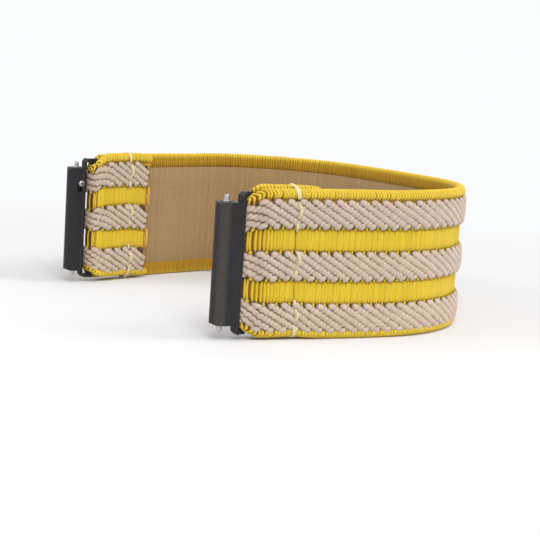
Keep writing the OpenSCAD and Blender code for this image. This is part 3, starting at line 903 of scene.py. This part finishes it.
# the coil spring: a small ring of points carried up a helix, whose height grows evenly with its
# turn
wire_radius = 0.00009
coil_turns = 8
steps_a_turn = 24
helix = 2 * np.pi * np.linspace(0, coil_turns, coil_turns * steps_a_turn + 1)[:, None]
wire_ring = 2 * np.pi * np.arange(8) / 8
for end in ("near", "far"):
    low, high = (np.array(corner, float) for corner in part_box("spring_" + end))
    coil_radius = (high[0] - low[0]) / 2 - wire_radius + wire_radius * np.cos(wire_ring)
    rise = low[2] + wire_radius + (high[2] - low[2] - 2 * wire_radius) * helix / helix[-1]
    coil_points = np.stack(
        [
            (low[0] + high[0]) / 2 + coil_radius * np.cos(helix),
            (low[1] + high[1]) / 2 + coil_radius * np.sin(helix),
            rise + wire_radius * np.sin(wire_ring),
        ],
        -1,
    )
    coil = new_piece("spring_coil_" + end, coil_points, tube_faces(len(helix), len(wire_ring)), wire)
    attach(coil, "connector_" + end)
    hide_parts("spring_" + end)
    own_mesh(coil)

# Seams
# Each folded tail is sewn to the loop with one row of zigzag stitches in pale doubled thread, made
# after the elastic is passed round the strap bar. Loops of it close over both rolled edges.

thread_r = 0.19
sew, tree, shader = material_of("sewing_thread", 0.6, sheen=0.2)
place = tree.nodes.new("ShaderNodeUVMap").outputs[0]
twist = add_node(tree, "ShaderNodeTexWave", Vector=place, Scale=1.1, Distortion=0.6)
twist.wave_type = "BANDS"
twist.bands_direction = "DIAGONAL"
plies = twist.outputs["Fac"]
thread_colour = ramp(tree, plies, (0.1, (0.66, 0.56, 0.30)), (0.6, (0.80, 0.70, 0.40)))
tree.links.new(thread_colour, shader.inputs["Base Color"])
bumped(tree, shader, plies, 0.00003)
ring_turn = 2 * np.pi * np.arange(8) / 8


def thread_ring(route):
    """Closed thread round a route of points in u, z, n: a ring of eight points at each, square to
    the route, that closes to a fifth at both ends."""
    ahead = np.gradient(route, axis=0)
    ahead /= np.linalg.norm(ahead, axis=1)[:, None]
    side = np.cross(ahead, [1.0, 0.05, 0.05])
    side /= np.linalg.norm(side, axis=1)[:, None]
    up = np.cross(side, ahead)
    ends = np.linspace(-1, 1, len(route))
    radius = thread_r * np.sqrt(np.clip(1 - ends**8, 0.04, 1))[:, None, None]
    ring = np.cos(ring_turn)[:, None] * side[:, None] + np.sin(ring_turn)[:, None] * up[:, None]
    return route[:, None] + radius * ring


def stitch(z_from, z_to, bow, low, high):
    """Route of one stitch from z_from to z_to on the face: up out of the cloth, over and down
    again as a half sine to the power 0.6, bowed sideways by a half sine."""
    t = np.linspace(0, 1, 15)
    z = z_from + (z_to - z_from) * t
    u = seam_line(z) + bow * np.sin(np.pi * t)
    return np.stack([u, z, low + (high - low) * np.sin(np.pi * t) ** 0.6], -1)


# each stitch: from and to z, sideways bow, height at its ends and at its middle
stitches = (
    (10.15, 6.95, 0.46, 1.40, 2.16),
    (6.8, 5.2, 0.06, 1.40, 1.98),
    (5.2, 2.3, 0.0, 1.00, 1.04),
    (2.15, -0.65, 0.46, 1.40, 2.16),
    (-0.75, -2.4, 0.06, 1.40, 1.98),
    (-2.5, -5.9, 0.0, 1.00, 1.04),
    (-5.9, -6.9, 0.0, 1.35, 1.90),
    (-7.1, -9.7, 0.42, 1.40, 2.16),
    (-9.8, -11.9, 0.0, 1.40, 2.05),
)
# a loop over a rolled edge, from the face of the loop to the face of the tail: u, z and n
edge_loop = np.array(
    [
        [0.14, 10.4, 2.06],
        [0.14, 11.0, 2.10],
        [0.10, 11.9, 1.54],
        [0.04, 12.2, 0.84],
        [0.00, 12.3, -0.06],
        [-0.04, 12.5, -0.96],
        [-0.08, 12.5, -1.66],
        [-0.12, 11.6, -2.30],
        [-0.14, 10.5, -2.35],
    ]
)
knots = np.linspace(0, 1, len(edge_loop))
fine_steps = np.linspace(0, 1, 33)
edge_route = np.stack([np.interp(fine_steps, knots, edge_loop[:, k]) for k in range(3)], -1)
smoothing_rounds = 3
for _ in range(smoothing_rounds):
    edge_route[1:-1] = (edge_route[:-2] + 2 * edge_route[1:-1] + edge_route[2:]) / 4
# the lower loop lies closer to the cloth, most of all on the tail
edge_lean = 0.06 * swell(0.0, 1.0, -edge_route[:, 2] / 2)
edge_rise = 0.15
edge_place = 11.0
ply_apart = 0.13
for end in ("near", "far"):
    routes = []
    for ply in (-ply_apart, ply_apart):
        for z_from, z_to, bow, low, high in stitches:
            route = stitch(z_from, z_to, bow + 0.6 * ply, low, high)
            routes.append(route)
            routes.append(route * [-1, 1, 1] - [fold_length, 0, 0])
        for side in (1.0, -1.0):
            route = edge_route * [1, side, 1] + [seam_line(edge_place * side) + ply, 0, 0]
            if side < 0:
                route[:, 1] = route[:, 1] * (1 - edge_lean) + edge_rise
                route = route[::-1]
            routes.append(route)
    points, faces, uvs, first = [], [], [], 0
    for route in routes:
        ring = thread_ring(route)
        if end == "far":
            ring[..., 0] = loop_length - ring[..., 0]
            ring = ring[:, ::-1]
        length = np.concatenate([[0], np.cumsum(np.linalg.norm(np.diff(route, axis=0), axis=1))])
        uv = np.stack(np.broadcast_arrays(length[:, None], ring_turn * thread_r), -1)
        uvs.append(uv.reshape(-1, 2))
        points.append(on_band(ring[..., 0], ring[..., 1], ring[..., 2]).reshape(-1, 3))
        faces += tube_faces(len(route), len(ring_turn), first)
        first += len(points[-1])
    seam = new_piece("seam_" + end, np.concatenate(points), faces, sew, np.concatenate(uvs))
    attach(seam, "band")
    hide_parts("stitching_" + end)

# Studio
# A pale floor that fades into a white backdrop, a sky that is brighter high on the right, three
# large soft lamps, and the camera at the photograph's angle.

floor_z = -0.00002
paper, tree, shader = material_of("floor_paper", 0.9)
shader.inputs["Base Color"].default_value = (0.76, 0.76, 0.77, 1.0)
shader.inputs["Specular IOR Level"].default_value = 0.1
radius = add_node(tree, "ShaderNodeVectorMath")
radius.operation = "LENGTH"
tree.links.new(object_place(tree), radius.inputs[0])
fade = add_node(tree, "ShaderNodeMapRange", From_Min=0.06, From_Max=0.17)
fade.interpolation_type = "SMOOTHSTEP"
tree.links.new(radius.outputs["Value"], fade.inputs["Value"])
clear = tree.nodes.new("ShaderNodeBsdfTransparent")
choice = tree.nodes.new("ShaderNodeMixShader")
tree.links.new(fade.outputs[0], choice.inputs[0])
tree.links.new(shader.outputs[0], choice.inputs[1])
tree.links.new(clear.outputs[0], choice.inputs[2])
tree.links.new(choice.outputs[0], tree.nodes["Material Output"].inputs[0])
floor_half = 0.4
floor_lines = 5
floor_x = np.linspace(-floor_half, floor_half, floor_lines)
grid_x, grid_y = np.meshgrid(floor_x, floor_x, indexing="ij")
floor_grid = np.stack([grid_x, grid_y, np.full_like(grid_x, floor_z)], -1)
i, m = np.meshgrid(np.arange(floor_lines - 1), np.arange(floor_lines - 1), indexing="ij")
low_corner = i * floor_lines + m
high_corner = low_corner + floor_lines
floor_faces = np.stack([low_corner, high_corner, high_corner + 1, low_corner + 1], -1).reshape(-1, 4)
floor = new_piece("floor", floor_grid, [floor_faces], paper)

world = bpy.data.worlds.new("sky")
bpy.context.scene.world = world
world.use_nodes = True
tree = world.node_tree
sky = tree.nodes["Background"]
sky.inputs["Color"].default_value = (1.0, 1.0, 1.0, 1.0)
slope = add_node(tree, "ShaderNodeVectorMath")
slope.operation = "DOT_PRODUCT"
slope.inputs[1].default_value = (0.50, -0.30, 0.81)
tree.links.new(tree.nodes.new("ShaderNodeTexCoord").outputs["Generated"], slope.inputs[0])
glow = add_node(tree, "ShaderNodeMapRange", Value=slope.outputs["Value"], From_Min=-0.6, From_Max=0.9)
glow.inputs["To Min"].default_value = 0.06
glow.inputs["To Max"].default_value = 0.85
tree.links.new(glow.outputs[0], sky.inputs["Strength"])
backdrop = add_node(tree, "ShaderNodeBackground", Color=(0.96, 0.97, 0.98, 1.0), Strength=1.0)
# seen directly, and in metal: white
rays = tree.nodes.new("ShaderNodeLightPath").outputs
seen = calculated(tree, "MAXIMUM", rays["Is Camera Ray"], rays["Is Glossy Ray"])
seen = calculated(tree, "MAXIMUM", seen, rays["Is Transmission Ray"])
choice = tree.nodes.new("ShaderNodeMixShader")
tree.links.new(seen, choice.inputs[0])
tree.links.new(sky.outputs[0], choice.inputs[1])
tree.links.new(backdrop.outputs[0], choice.inputs[2])
tree.links.new(choice.outputs[0], tree.nodes["World Output"].inputs[0])


def soft_lamp(name, place, aim, size, power):
    """Square area lamp at a place in metres, turned towards another."""
    lamp = bpy.data.lights.new(name, "AREA")
    lamp.shape = "SQUARE"
    lamp.size = size
    lamp.energy = power
    holder = bpy.data.objects.new(name, lamp)
    direction = np.array(place, float) - np.array(aim, float)
    z_axis = direction / np.linalg.norm(direction)
    x_axis = np.cross([0.0, 0.0, 1.0], z_axis)
    x_axis /= np.linalg.norm(x_axis)
    y_axis = np.cross(z_axis, x_axis)
    matrix = np.eye(4)
    matrix[:3, :3] = np.stack([x_axis, y_axis, z_axis], 1)
    matrix[:3, 3] = place
    holder.matrix_world = Matrix(matrix.tolist())
    bpy.context.scene.collection.objects.link(holder)


soft_lamp("key_lamp", (-0.20, -0.40, 0.46), (0.0, 0.0, 0.012), 0.30, 2.05)
soft_lamp("side_lamp", (0.45, -0.30, 0.40), (0.0, 0.0, 0.012), 0.35, 1.4)
soft_lamp("left_lamp", (-0.48, 0.16, 0.28), (0.02, 0.0, 0.012), 0.25, 1.0)

# the camera as fitted to the photograph: its turn, its distance, its focal length in pixels of a
# picture 540 wide, and how far the middle of the picture lies from the target
azimuth, elevation, roll_angle = np.radians([-34.6, 8.8, 3.8])
distance = 0.240
focal = 1323.0
picture_width = 540
sensor_width = 36.0
target = np.array([-0.0011406, 0.0, 0.012])
aside, above = -0.00042, 0.00615
toward = np.append(np.cos(elevation) * np.array([np.sin(azimuth), -np.cos(azimuth)]), np.sin(elevation))
level = np.array([np.cos(azimuth), np.sin(azimuth), 0.0])
upright = np.cross(toward, level)
camera_x = np.cos(roll_angle) * level + np.sin(roll_angle) * upright
camera_y = -np.sin(roll_angle) * level + np.cos(roll_angle) * upright
view = np.eye(4)
view[:3, :3] = np.stack([camera_x, camera_y, toward], 1)
view[:3, 3] = target + distance * toward - aside * camera_x - above * camera_y
camera_data = bpy.data.cameras.new("camera")
camera_data.sensor_width = sensor_width
camera_data.lens = focal / picture_width * sensor_width
camera_data.clip_start = 0.01
camera = bpy.data.objects.new("camera", camera_data)
camera.matrix_world = Matrix(view.tolist())
bpy.context.scene.collection.objects.link(camera)
bpy.context.scene.camera = camera
bpy.context.scene.view_settings.view_transform = "Standard"
